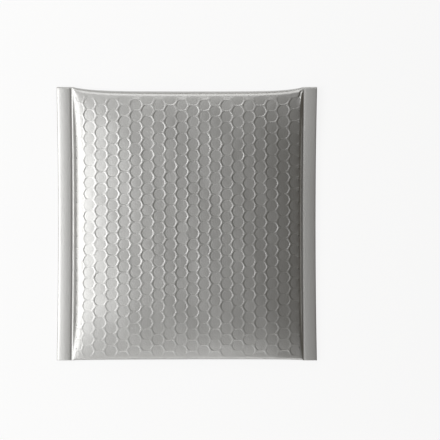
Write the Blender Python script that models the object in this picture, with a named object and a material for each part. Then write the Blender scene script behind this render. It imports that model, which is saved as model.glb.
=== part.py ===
"""Bubble mailer of matte silver film, closed and lying face up.

One web of bubble laminate is folded up at the bottom, welded along both sides and folded over
at the top, so that its end lies under the back as the flap. The flap carries a strip of
adhesive and the liner that covers it.

+X runs across the mailer, +Y runs from the bottom fold to the flap's fold and +Z points out of
the front. The underside lies on the plane z = 0. Sizes are in metres.

The surfaces are drawn on a flat plan, with p across and q along, and then lifted to their
heights. On the plan the padded field is a rectangle, and the folds are rows beyond its ends.
"""

import bmesh
import bpy
import numpy as np

# Outline
WIDTH = 0.2462
LENGTH = 0.2588
WAIST = 0.0021
PAD_WAIST = 0.0008
TOP_SAG = 0.0038
BOTTOM_SAG = 0.0012
SAG_RUN = 0.017

# The web: bubble laminate, and the same where its bubbles are pressed flat
PLY = 0.0035
FLAT_WEB = 0.0003
CLEARANCE = 0.0003

# Side seams: a flat welded strip, and a bead of squeezed film between it and the padding
SEAM_WIDTH = 0.0130
SEAM_CAMBER = 0.0006
BEAD_WIDTH = 0.0034
BEAD_HEIGHT = 0.0008

# Padding: the air in the pocket bulges the front
POCKET_HEIGHT = 0.0036
POCKET_MARGIN = 0.0015
CROWN_POWER = 2.4
CROWN_END_LOSS = 0.45
EDGE_ROUNDING = 0.0030
SHOULDER = 0.0018
TOP_FOLD_DEPTH = 0.0050
BOTTOM_FOLD_DEPTH = 0.0034
SEAM_TOP_FOLD_DEPTH = 0.0015
SEAM_BOTTOM_FOLD_DEPTH = 0.0004
STRETCH_RUN = 0.040

# Bubbles: they stand in columns, and every other column is half a pitch lower
BUBBLE_PITCH = 0.010605
COLUMN_PITCH = 0.01075
BUBBLE_START = 0.0012
RIDGE_HALF_WIDTH = 0.0015
RELIEF = 0.0005

# Flap, with a flat band along its free edge, and the mouth of the pocket under it
FLAP_PADDED_LENGTH = 0.022
BAND_TAPER = 0.004
BAND_WIDTH = 0.024
FLAP_EDGE_GAP = 0.0008
MOUTH_SETBACK = 0.0030

# Adhesive and its liner, which lie on the flat band
LINER_MARGIN = 0.001
LINER_OVERHANG = 0.004
LINER_THICKNESS = 0.0001
ADHESIVE_MARGIN = 0.002
ADHESIVE_INSET = 0.005
ADHESIVE_THICKNESS = 0.00015

# Worked out from the sizes above
SEAM_THICKNESS = 2 * FLAT_WEB
SEAM_HEIGHT = PLY + SEAM_THICKNESS / 2
SEAM_LIFT = (PLY + CLEARANCE) / 2
MARGIN_LIFT = (PLY - FLAT_WEB) / 2
LEDGE = FLAT_WEB / 6
STACK_HEIGHT = 3 * CLEARANCE + ADHESIVE_THICKNESS + LINER_THICKNESS
LINER_WIDTH = BAND_WIDTH - 2 * LINER_MARGIN
ADHESIVE_WIDTH = LINER_WIDTH - 2 * ADHESIVE_MARGIN

# Places on the plan
OUTER_P = WIDTH / 2
STRIP_P = OUTER_P - SEAM_WIDTH
CREST_P = STRIP_P - BEAD_WIDTH / 2
WELD_P = STRIP_P - BEAD_WIDTH
PAD_P = WELD_P - SHOULDER
TOP_Q = LENGTH / 2 - TOP_SAG - TOP_FOLD_DEPTH
BOTTOM_Q = BOTTOM_SAG + BOTTOM_FOLD_DEPTH - LENGTH / 2
BAND_TOP_Q = LENGTH / 2 - TOP_SAG - FLAP_PADDED_LENGTH
BAND_END_Q = BAND_TOP_Q - BAND_TAPER
FLAP_EDGE_Q = BAND_END_Q - BAND_WIDTH
MOUTH_Q = TOP_Q - MOUTH_SETBACK
FOLD_RUN = BOTTOM_FOLD_DEPTH
BACK_PLANE = -LENGTH

# Mesh
FOLD_ROWS = 3
SNAP = RIDGE_HALF_WIDTH / 3
LEAST_CELL = 3.6 * RIDGE_HALF_WIDTH
WALL_P = PAD_P + 0.7 * SHOULDER
NEAR = 1e-6


def smooth(t):
    """Rise from 0 to 1 with level ends: 3 t^2 - 2 t^3."""
    t = np.clip(t, 0.0, 1.0)
    return t * t * (3.0 - 2.0 * t)


def fullness(p):
    """How far the padding has opened, from 0 at the weld to 1: a quarter of an ellipse."""
    t = np.clip((WELD_P - np.abs(p)) / EDGE_ROUNDING, 0.0, 1.0)
    return np.sqrt(1.0 - (1.0 - t) ** 2)


def blend(p, padded, seam):
    """A value that is one thing in the padding and another in the seams."""
    full = fullness(p)
    return padded * full + seam * (1.0 - full)


def seam_height(q):
    """Mid-height of the side seams, which rise a little over the flap."""
    run = TOP_Q - BAND_END_Q + STRETCH_RUN
    return SEAM_HEIGHT + SEAM_LIFT * smooth((q - TOP_Q + run) / run)


def pocket_air(p, q):
    """Height of the air in the pocket: a lens that closes at the welds and thins at the ends."""
    across = np.minimum(np.abs(p) / WELD_P, 1.0) ** CROWN_POWER
    along = np.minimum(np.where(q > 0.0, q / TOP_Q, q / BOTTOM_Q), 1.0) ** 4
    return POCKET_HEIGHT * (1.0 - across) * (1.0 - CROWN_END_LOSS * along)


def front_height(p, q):
    """Outer face of the front: seam strip, bead, and padding with its crown."""
    across = np.abs(p)
    q = np.clip(q, BOTTOM_Q, TOP_Q)
    strip = np.clip((across - STRIP_P) / SEAM_WIDTH, 0.0, 1.0)
    camber = SEAM_CAMBER * 4.0 * strip * (1.0 - strip)
    bead = BEAD_HEIGHT * np.clip(1.0 - np.abs(across - CREST_P) * 2.0 / BEAD_WIDTH, 0.0, 1.0)
    return seam_height(q) + SEAM_THICKNESS / 2 + camber + bead + PLY * fullness(p) + pocket_air(p, q)


def margin_height(q):
    """Underside of the flap's side margins."""
    return MARGIN_LIFT * smooth((q - BAND_END_Q) / BAND_TAPER)


def under_height(p, q):
    """Underside: flat under the padding, and up at the seams or the flap's margins."""
    q = np.clip(q, BOTTOM_Q, TOP_Q)
    past_edge = np.clip((q - FLAP_EDGE_Q + FLAP_EDGE_GAP) / FLAP_EDGE_GAP, 0.0, 1.0)
    strip = seam_height(q) - SEAM_THICKNESS / 2
    return blend(p, 0.0, strip + (margin_height(q) - strip) * past_edge)


def flap_top(p, q):
    """The flap's inner face, which looks up at the back."""
    ply = FLAT_WEB + (PLY - FLAT_WEB) * smooth((q - BAND_END_Q) / BAND_TAPER)
    return blend(p, ply, margin_height(q) + FLAT_WEB)


def back_under(p, q):
    """The back's outer face where the flap covers it."""
    gap = STACK_HEIGHT + (CLEARANCE - STACK_HEIGHT) * smooth((q - BAND_END_Q) / BAND_TAPER)
    return blend(p, flap_top(0.0, q) + gap, seam_height(q) - SEAM_THICKNESS / 2 - LEDGE)


def pocket_middle(p, q):
    """Mid-height of the pocket: halfway through what lies above the flap."""
    lift = back_under(0.0, BAND_TOP_Q) * smooth((q - FLAP_EDGE_Q + STRETCH_RUN) / STRETCH_RUN)
    return (lift + front_height(p, q)) / 2


def pocket_floor(p, q):
    return pocket_middle(p, q) - (pocket_air(p, q) + CLEARANCE) / 2


def pocket_roof(p, q):
    return pocket_middle(p, q) + (pocket_air(p, q) + CLEARANCE) / 2


def mouth_roof(p, q):
    """The front's inner face over the mouth of the pocket."""
    return blend(p, pocket_roof(p, q) + CLEARANCE, seam_height(q) + SEAM_THICKNESS / 2 - FLAT_WEB)


def end_depths(p, end):
    """Depth of the fold at one end, and the place of its outermost line along Y."""
    inward = 1.0 - np.exp(-np.maximum(WELD_P - np.abs(p), 0.0) / SAG_RUN)
    if end > 0:
        return blend(p, TOP_FOLD_DEPTH, SEAM_TOP_FOLD_DEPTH), LENGTH / 2 - TOP_SAG * inward
    return blend(p, BOTTOM_FOLD_DEPTH, SEAM_BOTTOM_FOLD_DEPTH), BOTTOM_SAG * inward - LENGTH / 2


def plan_to_xy(p, q, fold_thinning=0.0):
    """Where a point of the plan lies across and along the mailer.

    Near each end the rows are shifted so that they follow the fold, and beyond it they follow a
    quarter turn. fold_thinning shortens that quarter turn, for the inside of a fold.
    """
    y = np.clip(q, BOTTOM_Q, TOP_Q)
    for end, limit in ((1, TOP_Q), (-1, BOTTOM_Q)):
        depth, edge = end_depths(p, end)
        shift = edge - end * depth - limit
        y = y + shift * smooth(1.0 - end * (limit - q) / STRETCH_RUN)
        turn = np.clip(end * (q - limit) / FOLD_RUN, 0.0, 1.0) * np.pi / 2
        y = y + end * (depth - fold_thinning) * np.sin(turn)
    bow = 1.0 - (2.0 * y / LENGTH) ** 2
    across = np.abs(p)
    strip = (across - STRIP_P) / SEAM_WIDTH
    inset = PAD_WAIST * np.minimum(across / STRIP_P, 1.0)
    inset = inset + (WAIST - PAD_WAIST) * np.maximum(strip, 0.0)
    return np.sign(p) * (across - inset * bow), y


def fold_cosine(q):
    """1 on the level faces, falling to 0 at the outermost line of a fold."""
    beyond = np.maximum(np.maximum(q - TOP_Q, BOTTOM_Q - q), 0.0) / FOLD_RUN
    return np.cos(np.minimum(beyond, 1.0) * np.pi / 2)


def surface_point(p, q, relief, front):
    """A point of the outer surface from its place on the plan. Relief sinks it into the wall."""
    x, y = plan_to_xy(p, q)
    top = front_height(p, q)
    under = under_height(p, q)
    side = np.where(front, 1.0, -1.0)
    z = (top + under) / 2 + side * (top - under) / 2 * fold_cosine(q) - side * relief
    return np.stack([x, y, z], axis=-1)


def trim(bm, axis, value, side, snap):
    """Cut the plan along a line, drop what lies beyond it and straighten the new border."""
    line = [0.0, 0.0, 0.0]
    normal = [0.0, 0.0, 0.0]
    line[axis] = value
    normal[axis] = side
    geom = bm.verts[:] + bm.edges[:] + bm.faces[:]
    bmesh.ops.bisect_plane(bm, geom=geom, dist=snap, plane_co=line, plane_no=normal, clear_outer=True)
    for vert in bm.verts:
        if abs(vert.co[axis] - value) <= snap * 1.01:
            vert.co[axis] = value


def widen(bm, axis, start, stations):
    """Extrude one straight border of the plan outwards, through each station in turn."""
    border = [e for e in bm.edges if e.is_boundary]
    edges = [e for e in border if all(abs(v.co[axis] - start) < NEAR for v in e.verts)]
    for station in stations:
        made = bmesh.ops.extrude_edge_only(bm, edges=edges)["geom"]
        verts = {item for item in made if isinstance(item, bmesh.types.BMVert)}
        edges = [e for e in made if isinstance(e, bmesh.types.BMEdge) and set(e.verts) <= verts]
        for vert in verts:
            vert.co[axis] = station


def cut_rows(bm, faces, q):
    """Cut the given faces along one row of the plan."""
    edges = {edge for face in faces for edge in face.edges}
    verts = {vert for face in faces for vert in face.verts}
    geom = [*faces, *edges, *verts]
    line = (0.0, q, 0.0)
    bmesh.ops.bisect_plane(bm, geom=geom, dist=NEAR, plane_co=line, plane_no=(0.0, 1.0, 0.0))


def bubble_cells(bm):
    """One six-sided cell for each bubble, trimmed to the padded field.

    A cell's corners are the points that lie equally far from three neighbouring bubbles.
    """
    lean = BUBBLE_PITCH**2 / (8.0 * COLUMN_PITCH)
    wide = COLUMN_PITCH / 2 + lean
    narrow = COLUMN_PITCH / 2 - lean
    half = BUBBLE_PITCH / 2
    upper = ((wide, 0.0), (narrow, half), (-narrow, half))
    corners = upper + tuple((-dp, -dq) for dp, dq in upper)
    columns = int(PAD_P / COLUMN_PITCH) + 2
    rows = int(LENGTH / 2 / BUBBLE_PITCH) + 2
    for column in range(-columns, columns):
        p = (column + 0.5) * COLUMN_PITCH
        start = BUBBLE_START + half * (column % 2)
        for row in range(-rows, rows + 1):
            q = start + row * BUBBLE_PITCH
            bm.faces.new([bm.verts.new((p + dp, q + dq, 0.0)) for dp, dq in corners])
    bmesh.ops.remove_doubles(bm, verts=bm.verts[:], dist=NEAR)
    for axis, value, side in ((0, PAD_P, 1), (0, -PAD_P, -1), (1, TOP_Q, 1), (1, BOTTOM_Q, -1)):
        trim(bm, axis, value, side, SNAP)


def plan_sheet():
    """The plan of one face: bubble cells, seams at both sides and fold rows at both ends."""
    bm = bmesh.new()
    bubble_cells(bm)
    stations = (WALL_P, WELD_P, CREST_P, STRIP_P, (STRIP_P + OUTER_P) / 2, OUTER_P)
    for side in (1, -1):
        widen(bm, 0, side * PAD_P, [side * station for station in stations])
    for q in (FLAP_EDGE_Q - FLAP_EDGE_GAP, FLAP_EDGE_Q, BAND_END_Q, BAND_TOP_Q):
        cut_rows(bm, [f for f in bm.faces if abs(f.calc_center_median().x) > PAD_P], q)
    turns = [FOLD_RUN * (row + 1) / FOLD_ROWS for row in range(FOLD_ROWS)]
    widen(bm, 1, TOP_Q, [TOP_Q + turn for turn in turns])
    widen(bm, 1, BOTTOM_Q, [BOTTOM_Q - turn for turn in turns])
    return bm


def is_cell(face, plane):
    """Whether a face of the plan is a bubble cell that is wide enough to be pressed in."""
    verts = np.array([v.co for v in face.verts])
    spread = np.ptp(verts, axis=0)
    centre = verts.mean(axis=0)
    inside = abs(centre[0]) < PAD_P and BOTTOM_Q < centre[1] < TOP_Q
    return inside and abs(centre[2] - plane) < NEAR and min(spread[:2]) > LEAST_CELL


def press_front(bm):
    """Sink the middle of each cell of the front, which leaves a ridge between the bubbles."""
    cells = [f for f in bm.faces if is_cell(f, 0.0)]
    bmesh.ops.inset_individual(bm, faces=cells, thickness=RIDGE_HALF_WIDTH, use_even_offset=True)
    for vert in {v for f in cells for v in f.verts}:
        vert.co.z = -RELIEF


def press_back(bm):
    """Leave the flap's band plain, and sink the centre of each other cell of the underside."""
    low = FLAP_EDGE_Q - FLAP_EDGE_GAP
    for q in (low, BAND_TOP_Q):
        cut_rows(bm, [f for f in bm.faces if f.calc_center_median().z < BACK_PLANE / 2], q)
    band = []
    for face in bm.faces:
        centre = face.calc_center_median()
        if centre.z < BACK_PLANE / 2 and abs(centre.x) < PAD_P and low < centre.y < BAND_TOP_Q:
            band.append(face)
    bmesh.ops.dissolve_faces(bm, faces=band, use_verts=False)
    cells = [f for f in bm.faces if is_cell(f, BACK_PLANE) and len(f.verts) < 9]
    for vert in bmesh.ops.poke(bm, faces=cells)["verts"]:
        vert.co.z = BACK_PLANE - RELIEF


def close_sides(bm):
    """Join the outer edges of front and back with the cut edges of the seams."""
    for side in (1, -1):
        rim = [v for v in bm.verts if abs(v.co.x - side * OUTER_P) < NEAR]
        rim.sort(key=lambda v: (round(v.co.y, 6), v.co.z))
        pairs = list(zip(rim[0::2], rim[1::2]))
        for (low, high), (next_low, next_high) in zip(pairs, pairs[1:]):
            bm.faces.new((low, next_low, next_high, high))


def add_object(name, bm, collection):
    mesh = bpy.data.meshes.new(name)
    bm.to_mesh(mesh)
    bm.free()
    obj = bpy.data.objects.new(name, mesh)
    collection.objects.link(obj)
    return obj


def slab(name, stations, columns, collection):
    """A closed cutter between two height fields over the plan.

    Each station is a place along q with the functions of its floor and its roof.
    """
    bm = bmesh.new()
    p = np.array(columns)
    rings = []
    for q, floor, roof in stations:
        x, y = plan_to_xy(p, np.full_like(p, q), blend(p, PLY, FLAT_WEB))
        low = floor(p, min(q, TOP_Q))
        high = roof(p, min(q, TOP_Q))
        half = (high - low) / 2 * fold_cosine(q)
        under = zip(x, y, (low + high) / 2 - half)
        over = zip(x[::-1], y[::-1], ((low + high) / 2 + half)[::-1])
        rings.append([bm.verts.new(point) for point in (*under, *over)])
    for near, far in zip(rings, rings[1:]):
        for place in range(len(near)):
            bm.faces.new((near[place - 1], near[place], far[place], far[place - 1]))
    for ring in (rings[0], rings[-1]):
        for place in range(len(p) - 1):
            bm.faces.new((ring[place], ring[place + 1], ring[-place - 2], ring[-place - 1]))
    bmesh.ops.remove_doubles(bm, verts=bm.verts[:], dist=NEAR)
    bmesh.ops.recalc_face_normals(bm, faces=bm.faces[:])
    cutter = add_object(name, bm, collection)
    cutter.hide_render = True
    cutter.display_type = "WIRE"
    return cutter


def cut(obj, cutter):
    modifier = obj.modifiers.new(cutter.name, "BOOLEAN")
    modifier.operation = "DIFFERENCE"
    modifier.solver = "EXACT"
    modifier.object = cutter


def material(name, colour, metallic, roughness):
    made = bpy.data.materials.new(name)
    made.use_nodes = True
    shader = made.node_tree.nodes["Principled BSDF"]
    shader.inputs["Base Color"].default_value = (*colour, 1.0)
    shader.inputs["Metallic"].default_value = metallic
    shader.inputs["Roughness"].default_value = roughness
    made.diffuse_color = (*colour, 1.0)
    return made


def make_pouch(parts, cutters):
    """The folded and welded web, with the slit between flap and back and the pocket."""
    bm = plan_sheet()
    copy = bmesh.ops.duplicate(bm, geom=bm.verts[:] + bm.edges[:] + bm.faces[:])["geom"]
    for item in copy:
        if isinstance(item, bmesh.types.BMVert):
            item.co.z = BACK_PLANE
    close_sides(bm)
    press_front(bm)
    press_back(bm)
    plan = np.array([v.co for v in bm.verts])
    front = plan[:, 2] > BACK_PLANE / 2
    relief = np.where(front, -plan[:, 2], BACK_PLANE - plan[:, 2])
    for vert, point in zip(bm.verts, surface_point(plan[:, 0], plan[:, 1], relief, front)):
        vert.co = point
    bmesh.ops.remove_doubles(bm, verts=bm.verts[:], dist=NEAR)
    bmesh.ops.triangulate(bm, faces=bm.faces[:])
    bmesh.ops.recalc_face_normals(bm, faces=bm.faces[:])
    pouch = add_object("pouch", bm, parts)

    cut(pouch, make_slit(cutters))
    cut(pouch, make_pocket(cutters))
    return pouch


def make_slit(cutters):
    """The gap round the flap: open at its free edge and wider at the mouth of the pocket."""

    def below(p, q):
        return np.full_like(p, -RELIEF)

    past = OUTER_P + SEAM_WIDTH / 2
    inner = WELD_P - EDGE_ROUNDING
    right = (inner / 2, inner, PAD_P, WELD_P, STRIP_P, past)
    columns = (*(-place for place in reversed(right)), 0.0, *right)
    stations = (
        (FLAP_EDGE_Q - FLAP_EDGE_GAP, below, back_under),
        (FLAP_EDGE_Q, below, back_under),
        (FLAP_EDGE_Q, flap_top, back_under),
        (BAND_END_Q, flap_top, back_under),
        (BAND_TOP_Q, flap_top, back_under),
        (MOUTH_Q, flap_top, back_under),
        (MOUTH_Q, flap_top, mouth_roof),
        (TOP_Q, flap_top, mouth_roof),
        (TOP_Q + FOLD_RUN / 2, flap_top, mouth_roof),
        (TOP_Q + FOLD_RUN, flap_top, mouth_roof),
    )
    return slab("flap_slit", stations, columns, cutters)


def make_pocket(cutters):
    """The space between front and back, which ends inside the wider part of the slit."""
    reach = PAD_P - POCKET_MARGIN
    rows = np.append(np.linspace(BOTTOM_Q, MOUTH_Q, 9), (MOUTH_Q + TOP_Q) / 2)
    stations = [(float(q), pocket_floor, pocket_roof) for q in rows]
    return slab("pocket_space", stations, np.linspace(-reach, reach, 9), cutters)


def make_strip(name, centre, size, parts):
    """A thin straight strip, as long as it is across the mailer."""
    bpy.ops.mesh.primitive_cube_add(size=1.0, location=centre)
    strip = bpy.context.active_object
    strip.name = name
    strip.data.name = name
    strip.scale = size
    bpy.ops.object.transform_apply(location=False, rotation=False, scale=True)
    for collection in strip.users_collection:
        collection.objects.unlink(strip)
    parts.objects.link(strip)
    return strip


def main():
    for obj in list(bpy.data.objects):
        bpy.data.objects.remove(obj)
    parts = bpy.data.collections.new("bubble_mailer")
    cutters = bpy.data.collections.new("bubble_mailer_cutters")
    bpy.context.scene.collection.children.link(parts)
    bpy.context.scene.collection.children.link(cutters)

    pouch = make_pouch(parts, cutters)
    pouch.data.materials.append(material("silver_film", (0.57, 0.57, 0.56), 0.9, 0.38))

    y = (FLAP_EDGE_Q + BAND_END_Q) / 2
    z = FLAT_WEB + CLEARANCE + ADHESIVE_THICKNESS / 2
    length = 2 * (PAD_P - ADHESIVE_INSET)
    size = (length, ADHESIVE_WIDTH, ADHESIVE_THICKNESS)
    strip = make_strip("adhesive_strip", (0.0, y, z), size, parts)
    strip.data.materials.append(material("hot_melt", (0.80, 0.77, 0.66), 0.0, 0.30))

    z = z + (ADHESIVE_THICKNESS + LINER_THICKNESS) / 2 + CLEARANCE
    size = (length + LINER_OVERHANG, LINER_WIDTH, LINER_THICKNESS)
    liner = make_strip("release_liner", (LINER_OVERHANG / 2, y, z), size, parts)
    liner.data.materials.append(material("siliconed_paper", (0.86, 0.87, 0.88), 0.0, 0.45))


main()
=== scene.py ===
"""Studio scene of a padded mailer of silver bubble film, closed and lying face up.

+X runs across the mailer, +Y from its bottom fold to the fold of its flap, and +Z out of its
front. It rests on the plane z = 0. All sizes are in metres.

The mailer is one web of film. Its surface is drawn on a flat plan, with p across and q along,
and lifted from there: each line of the plan across the mailer is one row of a grid that runs
right round the web, over the front, round the flap's fold, along both sides of the flap, down
the back and round the bottom fold.
"""

from __future__ import annotations

import logging
import math
from dataclasses import dataclass, field
from enum import Enum

import bpy
import numpy as np
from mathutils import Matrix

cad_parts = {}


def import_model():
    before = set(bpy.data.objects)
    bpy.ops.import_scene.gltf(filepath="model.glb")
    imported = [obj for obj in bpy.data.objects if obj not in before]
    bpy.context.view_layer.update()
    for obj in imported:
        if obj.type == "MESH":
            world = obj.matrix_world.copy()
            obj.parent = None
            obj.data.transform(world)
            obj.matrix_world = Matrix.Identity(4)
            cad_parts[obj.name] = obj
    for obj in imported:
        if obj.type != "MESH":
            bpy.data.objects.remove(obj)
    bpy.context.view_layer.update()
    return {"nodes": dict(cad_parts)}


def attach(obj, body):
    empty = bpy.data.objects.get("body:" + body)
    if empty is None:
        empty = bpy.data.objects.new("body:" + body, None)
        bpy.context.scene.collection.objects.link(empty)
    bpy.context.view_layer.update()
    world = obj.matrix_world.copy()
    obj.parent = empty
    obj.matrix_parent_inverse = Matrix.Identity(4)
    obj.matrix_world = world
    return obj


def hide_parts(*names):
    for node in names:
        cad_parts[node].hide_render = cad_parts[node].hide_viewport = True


Array = np.ndarray
Colour = tuple[float, float, float, float]
Place = tuple[float, float, float]
Sides = tuple[float, float]  # the value at the left and the one at the right
Terms = tuple[float, ...]

SHARP_ANGLE = math.radians(62.0)  # where faces meet at more than this, their edge is drawn sharp

log = logging.getLogger("mailer")


class Slot(Enum):
    """The record's material slots."""

    FILM = "silver_film"
    ADHESIVE = "hot_melt"
    LINER = "siliconed_paper"


def linear(hex_colour: str) -> Colour:
    """Turn an sRGB hex colour to linear light.

    Args:
        hex_colour: Six hex digits, such as "C8C7C4".

    Returns:
        Red, green, blue and an alpha of 1.
    """
    coded = np.array([int(hex_colour[i : i + 2], 16) for i in (0, 2, 4)]) / 255.0
    light = np.where(coded <= 0.04045, coded / 12.92, ((coded + 0.055) / 1.055) ** 2.4)
    return (float(light[0]), float(light[1]), float(light[2]), 1.0)


def smooth(t: Array) -> Array:
    """Rise from 0 to 1 with level ends: 3 t^2 - 2 t^3, with t held between 0 and 1."""
    t = np.clip(t, 0.0, 1.0)
    return t * t * (3.0 - 2.0 * t)


def lump(t: Array) -> Array:
    """Bell of limited reach: (1 - t^2)^2 where t is between -1 and 1, and 0 elsewhere."""
    return np.clip(1.0 - t * t, 0.0, 1.0) ** 2


def by_side(p: Array, pair: Sides) -> Array:
    """The pair's first value left of the middle, and its second one right of it."""
    return np.where(p < 0.0, *pair)


def add_node(
    tree: bpy.types.NodeTree,
    kind: str,
    settings: dict[str | int, object] | None = None,
    links: dict[str | int, bpy.types.NodeSocket] | None = None,
) -> bpy.types.Node:
    """Add one shader node with its settings and its incoming links.

    Args:
        tree: The node tree to add to.
        kind: The node's type name.
        settings: Values for the node's properties or, where it has no such property, its sockets.
        links: The sockets to link from, by the name or number of the input.

    Returns:
        The new node.
    """
    node = tree.nodes.new(kind)
    for name, value in (settings or {}).items():
        if isinstance(name, str) and hasattr(node, name):
            setattr(node, name, value)
        else:
            node.inputs[name].default_value = value
    for name, socket in (links or {}).items():
        tree.links.new(socket, node.inputs[name])
    return node


@dataclass(frozen=True)
class BubbleFilm:
    """The bubbles of the padding, as they show through the outer film.

    They stand in columns, and every other column is half a pitch lower. Each is a flat, sunken
    disc in a cell of six sides: the cell's outline is the crest between it and its neighbours.
    The mesh runs in rings round each disc, so that every crest and every wall is an edge of it.
    """

    # the cells
    pitch: float = 0.010501
    column_pitch: float = 0.01075
    start: float = 0.00161
    columns: int = 20
    rows: int = 40
    # one cell, from its outline inwards: half the crest, the wall, and the outer ring of the floor
    crest: float = 0.00024
    wall: float = 0.00024
    floor_edge: float = 0.00026
    radius: float = 0.00536
    depth: float = 0.000098
    saddle: float = 0.25
    squeeze: float = 22.0
    # the grid, and how it ends
    facets: int = 10
    least_step: float = 0.00012
    side_fade: float = 0.0014
    side_run: float = 0.012
    # how the columns creep, and what makes one bubble differ from the next
    creep_p: Terms = (0.04, -0.27, -2.99, 1.42, 1.99, 0.35, -0.66, -0.24, -0.33)
    creep_q: Terms = (0.05, -0.52, -0.33, 0.50, 0.67, 0.10, -0.26, -0.33, -0.39)
    usual: Terms = (0.0, 0.0, 1.0, 1.0, 0.0, 0.0, 0.0)
    spread: Terms = (0.00004, 0.00004, 0.010, 0.11, 0.006, 0.006, 0.00003)
    widest: float = 2.0
    seed: int = 11

    def traits(self) -> Array:
        """Make the small differences between bubbles: the usual value plus a share of the spread.

        The share is a normal draw, held within the widest share either way.

        Returns:
            For each column and row: how far it strays in p and q, its radius and depth as
            shares, its lean in p and q, and how far its middle dips.
        """
        rng = np.random.default_rng(self.seed)
        draw = rng.normal(size=(self.columns, self.rows, len(self.spread)))
        return np.array(self.usual) + np.clip(draw, -self.widest, self.widest) * self.spread

    def creep(self, p: Array, q: Array, outer_p: float) -> Array:
        """How far the columns stray from straight: no such film is laminated quite evenly.

        With u and v the place in tenths of a metre, each shift is a sum, in millimetres, of
        the terms 1, u, u^2, u^3, u^4, v, u v, u^2 v and v^2. It fades out at the sides.

        Args:
            p: Places across the plan.
            q: Places along the plan.
            outer_p: Where the bubbles end at either side.

        Returns:
            The shift across and the shift along.
        """
        u, v = p / 0.1, q / 0.1
        terms = np.stack([np.ones_like(u), u, u**2, u**3, u**4, v, u * v, u * u * v, v**2])
        shift = np.tensordot(np.array([self.creep_p, self.creep_q]), terms, axes=1) / 1000.0
        return shift * smooth((outer_p - np.abs(p)) / self.side_run)

    def lay(self, low_q: float, high_q: float, outer_p: float) -> tuple[Array, Array, Array]:
        """Lay the grid over the bubbles between two lines across the plan.

        Each cell is a square of the grid whose sides are pushed out to the cell's outline. With
        u and v from -1 to 1 in the square, the outline in the direction (u, v) / max(|u|, |v|)
        lies half a pitch away in q, and in p half a column away, plus a notch that shrinks with
        |v|. Rings of the square are set along the ray to the outline: the crest, the top and
        the foot of the wall, and the floor. The wall's top follows the disc or the crest's edge,
        whichever is nearer, and rounds the corner between them by a high power, the squeeze. The
        outer side of the outermost cells is straight. Between discs of one column the crest
        sags, by the saddle's share, as 1 - u^4.

        Args:
            low_q: Where the grid starts along the plan.
            high_q: Where it ends.
            outer_p: Where it ends at either side.

        Returns:
            Place across, place along, and depth below the crests, one row for each grid line.
        """
        n, half = self.facets, self.facets // 2
        ends = np.rint((np.array([low_q, high_q]) - self.start) * n / self.pitch).astype(int)
        line = np.arange(ends[0], ends[1] + 1)[:, None]
        post = np.arange(self.columns * n + 1)[None]
        column = np.minimum(post // n, self.columns - 1)
        u = (post - column * n) / half - 1.0
        offset = column % 2 * half
        cell = (line - offset + half) // n
        v = (line - offset - cell * n) / half
        mid_p = (column - self.columns / 2 + 0.5) * self.column_pitch
        mid_q = self.start + (cell * n + offset) * self.pitch / n

        reach = np.maximum(np.abs(u), np.abs(v))
        ring = np.rint(reach * half).astype(int)
        away = np.maximum(reach, 0.5 / half)  # the cell's middle point lies in no direction
        u_out, v_out = u / away, v / away
        notch = self.pitch**2 / (8.0 * self.column_pitch)
        side_p = self.column_pitch / 2 + notch * (1.0 - 2.0 * np.abs(v_out))
        outermost = np.abs(mid_p + u * self.column_pitch) > self.columns * self.column_pitch / 2
        outermost = outermost & (u * mid_p > 0.0) & ((column == 0) | (column == self.columns - 1))
        edge_p = u_out * np.where(outermost, outer_p - np.abs(mid_p), side_p)
        edge_q = v_out * self.pitch / 2
        far = np.maximum(np.hypot(edge_p, edge_q), 1e-9)  # not 0, as it divides

        own = np.moveaxis(self.traits()[column, cell + self.rows // 2], -1, 0)
        inner = far * (1.0 - self.crest / (self.pitch / 2))
        disc = self.radius * own[2]
        top = (disc**-self.squeeze + inner**-self.squeeze) ** (-1.0 / self.squeeze)
        floor = (top - self.wall - self.floor_edge) * ring / (half - 3)
        outer_rings = [ring == half, ring == half - 1, ring == half - 2]
        radial = np.select(outer_rings, [far, top, top - self.wall], floor)
        loose = ring < half
        p = mid_p + edge_p / far * radial + own[0] * loose
        q = mid_q + edge_q / far * radial + own[1] * loose

        lean = own[4] * (p - mid_p) + own[5] * (q - mid_q)
        dip = own[6] * np.clip(1.0 - (radial / disc) ** 2, 0.0, 1.0)
        sunk = (self.depth * own[3] + lean + dip) * (ring <= half - 2)
        to_next_disc = np.isclose(np.abs(v_out), 1.0)
        low_crest = self.saddle * self.depth * (1.0 - u_out**4) * to_next_disc
        sunk = np.where(ring > half - 2, low_crest, sunk)

        shift = self.creep(p, q, outer_p)
        p, q = p + shift[0], q + shift[1]
        order = line - line[0]
        q = np.maximum(q, low_q + self.least_step * order)
        q = np.minimum(q, high_q - self.least_step * order[::-1])
        q[0], q[-1] = low_q, high_q
        return p, q, sunk * smooth((outer_p - np.abs(p)) / self.side_fade)


@dataclass(frozen=True)
class Crease:
    """A small ridge, or where its height is negative a groove, by the p and y of its ends."""

    start: tuple[float, float]
    end: tuple[float, float]
    width: float
    height: float

    def lift(self, p: Array, y: Array) -> Array:
        """Height of the ridge at each point.

        Across the line it is a lump of the given width. Along the line it fades out at both
        ends, over the width at the start and over a third of the length at the end.

        Args:
            p: Places across the plan.
            y: Places along Y.

        Returns:
            The height at each point.
        """
        run = np.subtract(self.end, self.start)
        length = float(np.hypot(*run))
        along = ((p - self.start[0]) * run[0] + (y - self.start[1]) * run[1]) / length
        across = ((y - self.start[1]) * run[0] - (p - self.start[0]) * run[1]) / length
        fade = smooth(along / self.width + 1.0) * smooth((length - along) * 3.0 / length)
        return self.height * lump(across / self.width) * fade


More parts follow.
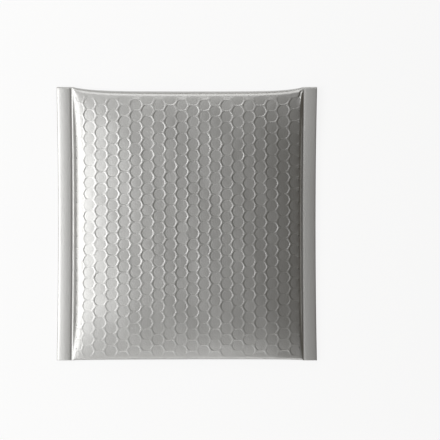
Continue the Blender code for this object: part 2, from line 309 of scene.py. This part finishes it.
@dataclass(frozen=True)
class MailerShape:
    """Sizes of the mailer, and its heights over the plan.

    The padding fills the middle, each seam is a flat strip at the side, and the weld is the line
    between them.
    """

    # the outline, and how the padding draws it in
    width: float = 0.2462
    length: float = 0.2588
    waist: float = 0.0013
    pad_waist: float = 0.0010
    inner_shift: float = 0.0009
    top_sag: float = 0.0042
    bottom_sag: float = 0.0009
    top_sag_run: Sides = (0.019, 0.016)
    bottom_sag_run: Sides = (0.050, 0.017)
    # the film: padded, and flat where it is welded
    ply: float = 0.0035
    flat_web: float = 0.0003
    clearance: float = 0.0003
    # the seam strips, from the weld to the cut edge
    seam_width: float = 0.0130
    weld_margin: Sides = (0.0013, 0.0009)
    groove_width: float = 0.0014
    groove_depth: Sides = (0.00014, 0.00005)
    seam_camber: Sides = (0.00034, 0.00012)
    seam_tilt: Sides = (0.00030, -0.00038)
    seam_twist: float = 0.00040
    lip_width: float = 0.0028
    lip_drop: Sides = (0.00020, 0.00004)
    edge_width: float = 0.0006
    edge_drop: Sides = (0.00032, 0.00015)
    # the padding's shoulder at the weld: with a power of a half it is a quarter of an ellipse
    edge_rounding: Sides = (0.0075, 0.0040)
    edge_power: Sides = (0.8, 0.52)
    # the air in the pocket, and how the padding and the air thin towards the folds
    air: float = 0.0060
    crown_power: float = 3.3
    crown_end_loss: float = 0.10
    top_roll: float = 0.0028
    top_roll_run: float = 0.060
    bottom_roll: float = 0.0031
    bottom_roll_run: float = 0.060
    roll_power: float = 2.0
    air_roll: float = 1.15
    # the film's faint waves: each has a length along p, a length along q, a phase and a share
    wave: float = 0.00005
    wave_lines: tuple[tuple[float, float, float, float], ...] = (
        (0.043, 0.140, 0.7, 1.0),
        (-0.190, 0.057, 2.1, 1.0),
        (0.047, 0.041, 4.0, 0.6),
    )
    # where the relief of the bubbles ends or fades; the film is tauter towards the bottom
    plain_margin: float = 0.0038
    top_fade: float = 0.0080
    bottom_fade: float = 0.0045
    flap_fade: float = 0.0020
    taut_loss: float = 0.40
    taut_run: float = 0.120
    # the folds
    top_fold_depth: float = 0.0050
    bottom_fold_depth: float = 0.0022
    seam_top_fold_depth: float = 0.0015
    seam_bottom_fold_depth: float = 0.0004
    stretch_run: float = 0.040
    slope_step: float = 0.001
    # the flap, and the back where it climbs over the flap
    flap_padded_length: float = 0.022
    band_taper: float = 0.004
    band_width: float = 0.024
    stack_height: float = 0.00115
    back_lift_run: float = 0.035

    @property
    def outer_p(self) -> float:
        """Where the plan ends at each side."""
        return self.width / 2

    @property
    def strip_p(self) -> float:
        """Inner edge of the flat seam strip."""
        return self.outer_p - self.seam_width

    @property
    def pad_p(self) -> float:
        """Where the bubbles end: between here and the seam the film is plain."""
        return self.strip_p - self.plain_margin

    @property
    def top_q(self) -> float:
        """Where the front turns into the flap's fold."""
        return self.length / 2 - self.top_sag - self.top_fold_depth

    @property
    def bottom_q(self) -> float:
        """Where the front turns into the bottom fold."""
        return self.bottom_sag + self.bottom_fold_depth - self.length / 2

    @property
    def band_top_q(self) -> float:
        """Where the flap's padding starts to thin towards its flat band."""
        return self.length / 2 - self.top_sag - self.flap_padded_length

    @property
    def band_end_q(self) -> float:
        """Where the flap's flat band starts."""
        return self.band_top_q - self.band_taper

    @property
    def flap_edge_q(self) -> float:
        """Free edge of the flap."""
        return self.band_end_q - self.band_width

    def inside(self, p: Array) -> Array:
        """Distance inwards from the weld, which lies a margin further in than the strip does."""
        return np.maximum(self.strip_p - by_side(p, self.weld_margin) - np.abs(p), 0.0)

    def fullness(self, p: Array) -> Array:
        """How far the padding has opened, from 0 at the weld to 1: a power of 1 - (1 - t)^2."""
        t = np.minimum(self.inside(p) / by_side(p, self.edge_rounding), 1.0)
        return (1.0 - (1.0 - t) ** 2) ** by_side(p, self.edge_power)

    def blend(self, p: Array, padded: Array | float, seam: Array | float) -> Array:
        """Mean of the padding's value and the seam's, weighted by the padding's fullness."""
        full = self.fullness(p)
        return padded * full + seam * (1.0 - full)

    def seam_height(self, q: Array) -> Array:
        """Mid-height of the side seams, which rise a little over the flap.

        Args:
            q: Places along the plan.

        Returns:
            The height at each place.
        """
        run = self.top_q - self.band_end_q + self.stretch_run
        lift = (self.ply + self.clearance) / 2
        return self.ply + self.flat_web + lift * smooth((q - self.top_q + run) / run)

    def camber(self, p: Array, q: Array) -> Array:
        """Height of the seam strip over its inner edge.

        It is the bow of a parabola, 4 t (1 - t), less the strip's tilt, with t from 0 at the
        inner edge to 1 at the cut edge. At the right a twist lifts the cut edge further
        towards +Y.

        Args:
            p: Places across the plan.
            q: Places along the plan.

        Returns:
            The height at each place.
        """
        t = np.clip((np.abs(p) - self.strip_p) / self.seam_width, 0.0, 1.0)
        bow = by_side(p, self.seam_camber) * 4.0 * t * (1.0 - t)
        twist = self.seam_twist * (p > 0.0) * smooth(q * 2.0 / self.length)
        return bow - (by_side(p, self.seam_tilt) - twist) * t

    def lip(self, p: Array) -> Array:
        """How far the strip's face drops at its cut edge.

        It is the sum of two parabolas: a wide one over the lip, and a narrow one at the edge.

        Args:
            p: Places across the plan.

        Returns:
            The drop at each place.
        """
        wide = np.clip((np.abs(p) - self.outer_p) / self.lip_width + 1.0, 0.0, 1.0)
        narrow = np.clip((np.abs(p) - self.outer_p) / self.edge_width + 1.0, 0.0, 1.0)
        return by_side(p, self.lip_drop) * wide**2 + by_side(p, self.edge_drop) * narrow**2

    def waves(self, p: Array, q: Array) -> Array:
        """Long, faint waves of the film: a sum of sines that cross.

        Args:
            p: Places across the plan.
            q: Places along the plan.

        Returns:
            The height at each place, which is 0 at the welds.
        """
        sines = (
            share * np.sin(2.0 * math.pi * (p / length_p + q / length_q) + phase)
            for length_p, length_q, phase, share in self.wave_lines
        )
        return self.wave * sum(sines) * self.fullness(p)

    def roll(self, q: Array) -> Array:
        """How far the padding thins towards either fold: a power of the way along the roll's run.

        Args:
            q: Places along the plan.

        Returns:
            What is taken off the padding at each place.
        """
        top = np.clip((q - self.top_q) / self.top_roll_run + 1.0, 0.0, 1.0)
        bottom = np.clip((self.bottom_q - q) / self.bottom_roll_run + 1.0, 0.0, 1.0)
        return self.top_roll * top**self.roll_power + self.bottom_roll * bottom**self.roll_power

    def pocket_air(self, p: Array, q: Array) -> Array:
        """Height of the air in the pocket: a lens that closes at the welds, lower at the ends.

        Across, it is 1 less a power of the way from the middle to the weld. Along, it loses a
        share by the fourth power of the way to either fold, and it thins with the padding's
        roll, in a fixed proportion.

        Args:
            p: Places across the plan.
            q: Places along the plan.

        Returns:
            The height at each place.
        """
        inside = self.inside(p)
        across = (1.0 - inside / (inside + np.abs(p))) ** self.crown_power
        along = np.minimum(np.where(q > 0.0, q / self.top_q, q / self.bottom_q), 1.0) ** 4
        crown = self.air * (1.0 - self.crown_end_loss * along) - self.air_roll * self.roll(q)
        return crown * (1.0 - across)

    def front(self, p: Array, q: Array) -> Array:
        """Outer face of the front, without its bubbles: seam strip, weld groove and padding.

        Args:
            p: Places across the plan.
            q: Places along the plan.

        Returns:
            The height at each place.
        """
        dip = lump((np.abs(p) - self.strip_p) / self.groove_width)
        groove = by_side(p, self.groove_depth) * dip
        strip = self.seam_height(q) + self.flat_web + self.camber(p, q) - self.lip(p)
        padding = (self.ply - self.roll(q)) * self.fullness(p) + self.pocket_air(p, q)
        return strip - groove + padding + self.waves(p, q)

    def slope(self, p: Array, q: Array, step: float) -> Array:
        """How steeply the front rises over a step of q: the rise over the run along Y."""
        run = np.abs(self.along(p, q + step) - self.along(p, q))
        return (self.front(p, q + step) - self.front(p, q)) / run

    def margin(self, q: Array) -> Array:
        """Underside of the flap's side margins, which lift with the flap's padding."""
        lift = (self.ply - self.flat_web) / 2
        return lift * smooth((q - self.band_end_q) / self.band_taper)

    def flap_under(self, p: Array, q: Array) -> Array:
        """The flap's outer face, which lies on the table: level, but for its margins."""
        return self.blend(p, 0.0, self.margin(q))

    def flap_top(self, p: Array, q: Array) -> Array:
        """The flap's inner face, which looks up at the back: padded, then a flat band.

        Args:
            p: Places across the plan.
            q: Places along the plan.

        Returns:
            The height at each place.
        """
        swell = smooth((q - self.band_end_q) / self.band_taper)
        ply = self.flat_web + (self.ply - self.flat_web) * swell
        return self.blend(p, ply, self.margin(q) + self.flat_web)

    def back(self, p: Array, q: Array) -> Array:
        """The back's outer face, which lies on the table and climbs over the flap.

        It keeps a clearance from the flap's padding, and over the flat band it leaves room for
        the adhesive and its liner.

        Args:
            p: Places across the plan.
            q: Places along the plan.

        Returns:
            The height at each place.
        """
        swell = smooth((q - self.band_end_q) / self.band_taper)
        over_flap = self.flap_top(np.zeros_like(q), q)
        gap = self.stack_height + (self.clearance - self.stack_height) * swell
        climb = smooth((q - self.flap_edge_q) / self.back_lift_run + 1.0)
        strip = self.seam_height(q) - self.flat_web + self.camber(p, q)
        return self.blend(p, (over_flap + gap) * climb, strip)

    def fold(self, p: Array, end: int) -> tuple[Array, Array]:
        """Depth of the fold at one end, and the place of its outermost line along Y.

        The padding is drawn in from the corners: the line leaves the full length at the weld
        and nears its own sag with the distance from it, as 1 - exp(-distance / run). At the
        bottom left the run is longer.

        Args:
            p: Places across the plan.
            end: 1 at the flap's fold, -1 at the bottom fold.

        Returns:
            The depth and the place, at each point.
        """
        run = by_side(p, self.top_sag_run if end > 0 else self.bottom_sag_run)
        inward = 1.0 - np.exp(-self.inside(p) / run)
        if end > 0:
            depth = self.blend(p, self.top_fold_depth, self.seam_top_fold_depth)
            return depth, self.length / 2 - self.top_sag * inward
        depth = self.blend(p, self.bottom_fold_depth, self.seam_bottom_fold_depth)
        return depth, self.bottom_sag * inward - self.length / 2

    def along(self, p: Array, q: Array) -> Array:
        """Where a point of the plan lies along Y: q, shifted near each end to follow its fold.

        Args:
            p: Places across the plan.
            q: Places along the plan.

        Returns:
            The place along Y of each point.
        """
        y = q
        for end, limit in ((1, self.top_q), (-1, self.bottom_q)):
            depth, edge = self.fold(p, end)
            shift = edge - end * depth - limit
            y = y + shift * smooth(1.0 - end * (limit - q) / self.stretch_run)
        return y

    def across(self, p: Array, y: Array) -> Array:
        """Where a point of the plan lies along X: p, drawn in by the waist between the ends.

        The waist is a parabola along Y. All but the seam strips' cut edges is shifted to the
        right, so the left strip is wider than the right one.

        Args:
            p: Places across the plan.
            y: Places along Y.

        Returns:
            The place along X of each point.
        """
        bow = 1.0 - (2.0 * y / self.length) ** 2
        outward = np.abs(p)
        strip = np.maximum((outward - self.strip_p) / self.seam_width, 0.0)
        inset = self.pad_waist * np.minimum(outward / self.strip_p, 1.0)
        inset = inset + (self.waist - self.pad_waist) * strip
        return np.sign(p) * (outward - inset * bow) + self.inner_shift * (1.0 - strip)


@dataclass
class Pouch:
    """The folded and welded web of film: one closed surface, with the slit round the flap."""

    shape: MailerShape
    bubbles: BubbleFilm
    creases: tuple[Crease, ...] = (
        Crease((0.1088, 0.1281), (0.1048, 0.1178), 0.0013, -0.00052),
        Crease((0.1076, 0.1238), (0.1064, 0.1108), 0.0012, 0.00042),
        Crease((-0.1078, 0.1273), (-0.1034, 0.1186), 0.0014, 0.00015),
    )
    post_steps: Terms = (0.00024, 0.00110, 0.00020)
    fold_rows: int = 18
    band_rows: int = 9
    rows: list[Array] = field(default_factory=list)
    first: dict[str, int] = field(default_factory=dict)

    def side_posts(self) -> Array:
        """Set the grid's places across the plan outside the bubbles.

        They run past the weld, over the seam strip and over its lip, and each of these three
        has its own step.

        Returns:
            The places at one side, from the bubbles outwards.
        """
        s = self.shape
        stations = (s.pad_p, s.strip_p + s.groove_width, s.outer_p - s.lip_width, s.outer_p)
        posts = []
        for low, high, step in zip(stations, stations[1:], self.post_steps):
            posts.extend(np.linspace(low, high, round((high - low) / step) + 1)[1:])
        return np.array(posts)

    def lay_plan(self, low_q: float, high_q: float) -> tuple[Array, Array, Array]:
        """Lay the grid over the whole width of the plan, between two lines across it.

        Args:
            low_q: Where the grid starts along the plan.
            high_q: Where it ends.

        Returns:
            Place across, place along, and how far the bubbles sink the skin.
        """
        p, q, sunk = self.bubbles.lay(low_q, high_q, self.shape.pad_p)
        posts = self.side_posts()[None] + np.zeros((len(p), 1))
        level = q[:, :1] + np.zeros_like(posts)
        plain = np.zeros_like(posts)
        p = np.hstack([-posts[:, ::-1], p, posts])
        return p, np.hstack([level, q, level]), np.hstack([plain, sunk, plain])

    def add_rows(self, name: str, p: Array, y: Array, z: Array) -> None:
        """Append rows to the way round the web and note where they start.

        Args:
            name: What the rows are.
            p: Their places across the plan.
            y: Their places along Y.
            z: Their heights.
        """
        self.first[name] = sum(len(rows) for rows in self.rows)
        x = self.shape.across(p, y)
        self.rows.append(np.stack(np.broadcast_arrays(x, y, z), axis=-1))

    def turn(
        self,
        p: Array,
        end: int,
        faces: tuple[Array, Array],
        y: Array,
        thin: Array | float = 0.0,
        slope: Array | float = 0.0,
    ) -> tuple[Array, Array, Array]:
        """Rows of a half turn, from the upper face to the lower one.

        The turn is half of an ellipse: y goes out with the sine of the angle by the fold's
        depth, and z goes down with its cosine by half the thickness. Where the upper face
        comes in with a slope, z also goes down by slope * distance * cos(angle / 2)^2.

        Args:
            p: One row of places across.
            end: 1 at the flap's fold, -1 at the bottom fold.
            faces: Heights of the upper and the lower face at each place.
            y: Place of the fold's start along Y.
            thin: What is taken off the depth, for the inside of a fold.
            slope: How steeply the upper face falls towards the fold.

        Returns:
            Place across, y and z of the rows, without the first and the last.
        """
        angle = np.linspace(0.0, math.pi, self.fold_rows + 1)[1:-1, None]
        high, low = faces
        depth = self.shape.fold(p, end)[0] - thin
        out = y + end * depth * np.sin(angle)
        level = (high + low) / 2 + (high - low) / 2 * np.cos(angle)
        level = level - slope * depth * np.sin(angle) * np.cos(angle / 2) ** 2
        return p + np.zeros_like(out), out, level

    def carry(self, upper: Array, lower: Array) -> Array:
        """Carry the relief at both faces of a fold into it: each fades over an eighth turn."""
        angle = np.linspace(0.0, 1.0, self.fold_rows + 1)[1:-1, None]
        return upper * (1.0 - smooth(angle * 4.0)) + lower * smooth(angle * 4.0 - 3.0)

    def lay_rows(self) -> None:
        """Work out every row of the web, round the front, the flap, the back and the folds."""
        s = self.shape
        p, q, sunk = self.lay_plan(s.bottom_q, s.top_q)
        y = s.along(p, q)
        sunk = sunk * smooth((s.top_q - q) / s.top_fade) * smooth((q - s.bottom_q) / s.bottom_fade)
        sunk = sunk * (1.0 - s.taut_loss * smooth((s.bottom_q - q) / s.taut_run + 1.0))
        lift = sum((crease.lift(p, y) for crease in self.creases), np.zeros_like(p)) - sunk
        top = s.front(p, q)
        self.add_rows("front", p, y, top + lift)

        flap_p, flap_q, flap_sunk = (rows[::-1] for rows in self.lay_plan(s.band_top_q, s.top_q))
        band = np.linspace(s.band_top_q, s.flap_edge_q, self.band_rows + 1)[1:, None]
        flap_p = np.vstack([flap_p, flap_p[-1:] + 0.0 * band])
        flap_q = np.vstack([flap_q, band + 0.0 * flap_p[-1:]])
        flap_y = s.along(flap_p, flap_q)
        under = s.flap_under(flap_p, flap_q)
        inner = s.flap_top(flap_p, flap_q)
        fall = s.slope(p[-1], q[-1], -s.slope_step)
        fold = self.turn(p[-1], 1, (top[-1], under[0]), y[-1], slope=fall)
        fold[2][:] += self.carry(lift[-1], sunk[-1])
        self.add_rows("fold", *fold)
        padded = slice(len(flap_sunk))
        under[padded] += flap_sunk * smooth((flap_q[padded] - s.band_top_q) / s.flap_fade)
        self.add_rows("flap_outer", flap_p, flap_y, under)
        self.add_rows("flap_inner", flap_p[::-1], flap_y[::-1], inner[::-1])

        covered = smooth((q - s.flap_edge_q) / s.flap_fade + 1.0)
        back = s.back(p, q)
        thin = s.blend(p[-1], s.ply, s.flat_web)
        fold = self.turn(p[-1], 1, (back[-1], inner[0]), y[-1], thin)
        self.add_rows("fold_inner", *(rows[::-1] for rows in fold))
        back_lift = sunk * (1.0 - covered)
        self.add_rows("back", p[::-1], y[::-1], (back + back_lift)[::-1])
        rise = s.slope(p[0], q[0], s.slope_step)
        fold = self.turn(p[0], -1, (top[0], back[0]), y[0], slope=rise)
        fold[2][:] += self.carry(lift[0], back_lift[0])
        self.add_rows("bottom", *(rows[::-1] for rows in fold))

    def faces(self, rows: int, columns: int) -> list[Array]:
        """Faces of the whole web: a grid that closes on itself, and the cut edge at each side.

        At the cut edge quads join the front to the back, the outer fold to the inner one, the
        flap's two faces, and both halves of the bottom fold, whose middle is a triangle.

        Args:
            rows: How many rows there are.
            columns: How many places across each has.

        Returns:
            Arrays of quads and of triangles.
        """
        index = np.arange(rows * columns).reshape(rows, columns)
        after = np.roll(index, -1, axis=0)
        grid = np.stack([index[:, :-1], index[:, 1:], after[:, 1:], after[:, :-1]], axis=-1)
        found = [grid.reshape(-1, 4)]
        at = self.first
        for column, way in ((0, -1), (columns - 1, 1)):
            edge = index[:, column]
            front, back = edge[: at["fold"]], edge[at["back"] : at["bottom"]]
            outer_fold = edge[at["fold"] - 1 : at["flap_outer"] + 1]
            inner_fold = edge[at["fold_inner"] - 1 : at["back"] + 1]
            flap_outer = edge[at["flap_outer"] : at["flap_inner"]]
            flap_inner = edge[at["flap_inner"] : at["fold_inner"]]
            bottom = np.append(edge[at["bottom"] - 1 :], edge[0])
            pairs = (
                (front, back),
                (outer_fold, inner_fold),
                (flap_outer, flap_inner),
                (bottom[: len(bottom) // 2], bottom[(len(bottom) + 1) // 2 :]),
            )
            for run, other in pairs:
                other = other[::-1]
                quads = np.stack([run[:-1], other[:-1], other[1:], run[1:]], axis=1)
                found.append(quads[:, ::way])
            middle = len(bottom) // 2
            found.append(bottom[None, middle - 1 : middle + 2][:, ::-way])
        return found

    def build(self) -> bpy.types.Object:
        """Make the mesh of the web.

        Returns:
            The finished object, at the origin.
        """
        self.lay_rows()
        points = np.concatenate(self.rows)
        return add_mesh("pouch_skin", points.reshape(-1, 3), self.faces(*points.shape[:2]))


def add_mesh(name: str, points: Array, faces: list[Array]) -> bpy.types.Object:
    """Put points and faces into a new smooth object.

    Args:
        name: Name of the object and its mesh.
        points: One row of x, y and z for each vertex.
        faces: Arrays of faces, each with faces of one size.

    Returns:
        The object, linked to the scene.
    """
    mesh = bpy.data.meshes.new(name)
    corners = np.concatenate([array.ravel() for array in faces]).astype(np.int32)
    sizes = np.concatenate([np.full(len(array), array.shape[1]) for array in faces])
    mesh.vertices.add(len(points))
    mesh.vertices.foreach_set("co", points.astype(np.float32).ravel())
    mesh.loops.add(len(corners))
    mesh.loops.foreach_set("vertex_index", corners)
    mesh.polygons.add(len(sizes))
    mesh.polygons.foreach_set("loop_start", (np.cumsum(sizes) - sizes).astype(np.int32))
    mesh.update(calc_edges=True)
    mesh.validate()
    mesh.shade_smooth()
    mesh.set_sharp_from_angle(angle=SHARP_ANGLE)
    obj = bpy.data.objects.new(name, mesh)
    bpy.context.scene.collection.objects.link(obj)
    return obj


def start_material(name: str) -> tuple[bpy.types.Material, bpy.types.NodeTree]:
    """Make a material that is built of nodes.

    Args:
        name: What the material is, in plain words.

    Returns:
        The material and its node tree.
    """
    made = bpy.data.materials.new(name)
    made.use_nodes = True
    return made, made.node_tree


@dataclass(frozen=True)
class MetallisedFilm:
    """Metallised polyester over polythene bubble film, with a matte coat."""

    light: str = "CCCCCB"
    dark: str = "C4C4C2"
    roughness: tuple[float, float] = (0.36, 0.44)
    cloud_mm: float = 60.0
    grain_mm: float = 1.5
    grain_depth_mm: float = 0.070

    def build(self) -> bpy.types.Material:
        """Make the material.

        Vapour-deposited aluminium is a full metal. The matte coat spreads its reflection to a
        satin sheen, and the film's grain breaks the sheen up. The real grain is under 0.1 mm,
        too fine to show, so it is drawn coarser.

        Returns:
            The material.
        """
        made, tree = start_material("metallised_film")
        shader = tree.nodes["Principled BSDF"]
        place = add_node(tree, "ShaderNodeTexCoord").outputs["Object"]
        cloud = add_node(
            tree,
            "ShaderNodeTexNoise",
            {"Scale": 1000.0 / self.cloud_mm, "Detail": 3.0},
            {"Vector": place},
        )
        colour = add_node(
            tree,
            "ShaderNodeMix",
            {"data_type": "RGBA", 6: linear(self.dark), 7: linear(self.light)},
            {0: cloud.outputs["Fac"]},
        )
        tree.links.new(colour.outputs[2], shader.inputs["Base Color"])
        grain = add_node(
            tree,
            "ShaderNodeTexNoise",
            {"Scale": 1000.0 / self.grain_mm, "Detail": 2.0},
            {"Vector": place},
        )
        rough = add_node(
            tree,
            "ShaderNodeMapRange",
            {"To Min": self.roughness[0], "To Max": self.roughness[1]},
            {"Value": grain.outputs["Fac"]},
        )
        tree.links.new(rough.outputs["Result"], shader.inputs["Roughness"])
        bump = add_node(
            tree,
            "ShaderNodeBump",
            {"Strength": 1.0, "Distance": self.grain_depth_mm / 1000.0},
            {"Height": grain.outputs["Fac"]},
        )
        tree.links.new(bump.outputs["Normal"], shader.inputs["Normal"])
        shader.inputs["Metallic"].default_value = 1.0
        return made


@dataclass(frozen=True)
class HotMelt:
    """Hot-melt adhesive, extruded as a strip: clear, pale yellow and glossy."""

    clear: str = "E9E2C8"
    deep: str = "DCCF9F"
    ripple_mm: float = 3.0
    ripple_depth_mm: float = 0.1
    roughness: float = 0.22
    ior: float = 1.48

    def build(self) -> bpy.types.Material:
        """Make the material: the strip's soft ripples turn its gloss and its depth of colour.

        Returns:
            The material.
        """
        made, tree = start_material("hot_melt_adhesive")
        shader = tree.nodes["Principled BSDF"]
        place = add_node(tree, "ShaderNodeTexCoord").outputs["Object"]
        ripple = add_node(
            tree, "ShaderNodeTexNoise", {"Scale": 1000.0 / self.ripple_mm}, {"Vector": place}
        )
        colour = add_node(
            tree,
            "ShaderNodeMix",
            {"data_type": "RGBA", 6: linear(self.deep), 7: linear(self.clear)},
            {0: ripple.outputs["Fac"]},
        )
        tree.links.new(colour.outputs[2], shader.inputs["Base Color"])
        bump = add_node(
            tree,
            "ShaderNodeBump",
            {"Distance": self.ripple_depth_mm / 1000.0},
            {"Height": ripple.outputs["Fac"]},
        )
        tree.links.new(bump.outputs["Normal"], shader.inputs["Normal"])
        shader.inputs["Roughness"].default_value = self.roughness
        shader.inputs["IOR"].default_value = self.ior
        return made


@dataclass(frozen=True)
class SiliconedPaper:
    """Release paper: supercalendered white glassine with a silicone coat."""

    sheet: str = "EFEFEC"
    fibre: str = "E2E2DE"
    fibre_mm: float = 1.5
    roughness: float = 0.40
    ior: float = 1.45

    def build(self) -> bpy.types.Material:
        """Make the material: faint clouds of fibre under a smooth, half-gloss coat.

        Returns:
            The material.
        """
        made, tree = start_material("siliconed_paper")
        shader = tree.nodes["Principled BSDF"]
        place = add_node(tree, "ShaderNodeTexCoord").outputs["Object"]
        fibre = add_node(
            tree,
            "ShaderNodeTexNoise",
            {"Scale": 1000.0 / self.fibre_mm, "Detail": 4.0},
            {"Vector": place},
        )
        colour = add_node(
            tree,
            "ShaderNodeMix",
            {"data_type": "RGBA", 6: linear(self.fibre), 7: linear(self.sheet)},
            {0: fibre.outputs["Fac"]},
        )
        tree.links.new(colour.outputs[2], shader.inputs["Base Color"])
        shader.inputs["Roughness"].default_value = self.roughness
        shader.inputs["IOR"].default_value = self.ior
        return made


@dataclass(frozen=True)
class SoftLamp:
    """A soft box, by its place, its length and height, and its power in watts."""

    name: str
    place: Place
    length: float
    height: float
    watts: float


@dataclass(frozen=True)
class SoftGlow:
    """A soft patch of the room's light.

    It lies at an angle in degrees down from overhead, and at a compass angle from +X to +Y.
    """

    down: float
    compass: float
    strength: float
    focus: float
    tint: Colour = (0.8, 0.8, 0.8, 1.0)

    def way(self) -> Place:
        """The direction of its middle, as a unit vector."""
        down, turn = math.radians(self.down), math.radians(self.compass)
        return (math.sin(down) * math.cos(turn), math.sin(down) * math.sin(turn), math.cos(down))


@dataclass
class Studio:
    """White table, soft lamps and the camera straight above the mailer.

    The silver film mirrors the room, so the room is dim: a bright one would wash its relief out.
    """

    # the camera
    eye: tuple[float, float] = (0.0314, 0.0035)
    eye_height: float = 1.20
    view_width: float = 0.41624
    focus_height: float = 0.0045
    sensor_mm: float = 36.0
    # the table: half its side, and the share of plain white that the camera and reflections see
    table_half: float = 6.0
    table_drop: float = 0.0002
    table_paint: str = "F6F6F5"
    table_white: float = 0.86
    # the light: the second glow lies under the table, so only its rim round the horizon shows
    room_level: float = 0.040
    room_tint: Colour = (1.0, 0.90, 0.74, 1.0)
    glows: tuple[SoftGlow, ...] = (
        SoftGlow(28.0, 180.0, 1.34, 10.0),
        SoftGlow(180.0, 0.0, 1.6, 2.4, (0.84, 0.75, 0.58, 1.0)),
    )
    lamps: tuple[SoftLamp, ...] = (
        SoftLamp("left", (-0.50, 0.0, 0.50), 0.80, 0.40, 2.24),
        SoftLamp("head", (-0.05, 0.60, 0.40), 0.70, 0.35, 1.31),
        SoftLamp("foot", (-0.05, -0.60, 0.40), 0.70, 0.35, 1.10),
    )

    def lay_table(self) -> None:
        """Make the table, which is white to the camera and in reflections but keeps the shadow."""
        mesh = bpy.data.meshes.new("table_top")
        ways = ((-1.0, -1.0), (1.0, -1.0), (1.0, 1.0), (-1.0, 1.0))
        corners = [(a * self.table_half, b * self.table_half, -self.table_drop) for a, b in ways]
        mesh.from_pydata(corners, [], [(0, 1, 2, 3)])
        table = bpy.data.objects.new("table_top", mesh)
        bpy.context.scene.collection.objects.link(table)
        made, tree = start_material("white_table")
        tree.nodes.clear()
        paint = add_node(tree, "ShaderNodeBsdfDiffuse", {"Color": linear(self.table_paint)})
        white = add_node(tree, "ShaderNodeEmission", {"Color": linear("FFFFFF"), "Strength": 1.0})
        path = add_node(tree, "ShaderNodeLightPath")
        seen = path.outputs["Is Camera Ray"]
        for name in ("Is Glossy Ray", "Is Transmission Ray"):
            seen = add_node(
                tree, "ShaderNodeMath", {"operation": "MAXIMUM"}, {0: seen, 1: path.outputs[name]}
            ).outputs[0]
        share = add_node(
            tree, "ShaderNodeMath", {"operation": "MULTIPLY", 1: self.table_white}, {0: seen}
        )
        both = add_node(
            tree,
            "ShaderNodeMixShader",
            links={0: share.outputs[0], 1: paint.outputs[0], 2: white.outputs[0]},
        )
        add_node(tree, "ShaderNodeOutputMaterial", links={"Surface": both.outputs[0]})
        mesh.materials.append(made)

    def light_room(self) -> None:
        """Light the room, white to the camera: a low level all round, and soft patches of light.

        Each patch fades as exp(f (c - 1)), with f its focus and c the cosine of the angle
        from its middle.
        """
        world = bpy.data.worlds.new("studio_room")
        bpy.context.scene.world = world
        world.use_nodes = True
        tree = world.node_tree
        tree.nodes.clear()
        way = add_node(tree, "ShaderNodeTexCoord").outputs["Generated"]
        room = add_node(
            tree, "ShaderNodeBackground", {"Color": self.room_tint, "Strength": self.room_level}
        )
        for glow in self.glows:
            facing = add_node(
                tree, "ShaderNodeVectorMath", {"operation": "DOT_PRODUCT", 1: glow.way()}, {0: way}
            )
            power = add_node(
                tree,
                "ShaderNodeMath",
                {"operation": "MULTIPLY_ADD", 1: glow.focus, 2: -glow.focus},
                {0: facing.outputs["Value"]},
            )
            fade = add_node(
                tree, "ShaderNodeMath", {"operation": "EXPONENT"}, {0: power.outputs[0]}
            )
            level = add_node(
                tree,
                "ShaderNodeMath",
                {"operation": "MULTIPLY", 1: glow.strength},
                {0: fade.outputs[0]},
            )
            patch = add_node(
                tree, "ShaderNodeBackground", {"Color": glow.tint}, {"Strength": level.outputs[0]}
            )
            room = add_node(
                tree, "ShaderNodeAddShader", links={0: room.outputs[0], 1: patch.outputs[0]}
            )
        white = add_node(tree, "ShaderNodeBackground", {"Color": linear("FFFFFF"), "Strength": 1.0})
        seen = add_node(tree, "ShaderNodeLightPath").outputs["Is Camera Ray"]
        shown = add_node(
            tree,
            "ShaderNodeMixShader",
            links={0: seen, 1: room.outputs[0], 2: white.outputs[0]},
        )
        add_node(tree, "ShaderNodeOutputWorld", links={"Surface": shown.outputs[0]})

    def hang_lamps(self) -> None:
        """Hang the soft boxes, each turned to the middle of the mailer, its length level."""
        for lamp in self.lamps:
            data = bpy.data.lights.new(lamp.name, "AREA")
            data.shape = "RECTANGLE"
            data.size, data.size_y = lamp.length, lamp.height
            data.energy = lamp.watts
            obj = bpy.data.objects.new(lamp.name, data)
            obj.location = lamp.place
            obj.rotation_euler = (-obj.location).to_track_quat("-Z", "Y").to_euler()
            bpy.context.scene.collection.objects.link(obj)

    def set_camera(self) -> None:
        """Set the camera: its lens takes in the view's width at the height of the seams."""
        data = bpy.data.cameras.new("overhead")
        data.sensor_width = self.sensor_mm
        data.lens = data.sensor_width * (self.eye_height - self.focus_height) / self.view_width
        camera = bpy.data.objects.new("overhead", data)
        camera.location = (*self.eye, self.eye_height)
        bpy.context.scene.collection.objects.link(camera)
        bpy.context.scene.camera = camera

    def build(self) -> None:
        """Make the whole studio."""
        self.lay_table()
        self.light_room()
        self.hang_lamps()
        self.set_camera()
        bpy.context.scene.view_settings.view_transform = "Standard"


def main() -> None:
    """Build the scene piece by piece."""
    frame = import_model()
    shape = MailerShape()
    pouch = Pouch(shape, BubbleFilm())
    skin = pouch.build()
    skin.data.materials.append(MetallisedFilm().build())
    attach(skin, "root")
    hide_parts("pouch")
    log.info("%s: %d faces", skin.name, len(skin.data.polygons))

    for node, slot, finish in (
        ("adhesive_strip", Slot.ADHESIVE, HotMelt()),
        ("release_liner", Slot.LINER, SiliconedPaper()),
    ):
        piece = frame["nodes"][node]
        piece.data.materials.clear()
        piece.data.materials.append(finish.build())
        log.info("%s: dressed", node)

    Studio().build()


if __name__ == "__main__":
    logging.basicConfig(level=logging.INFO)
    main()
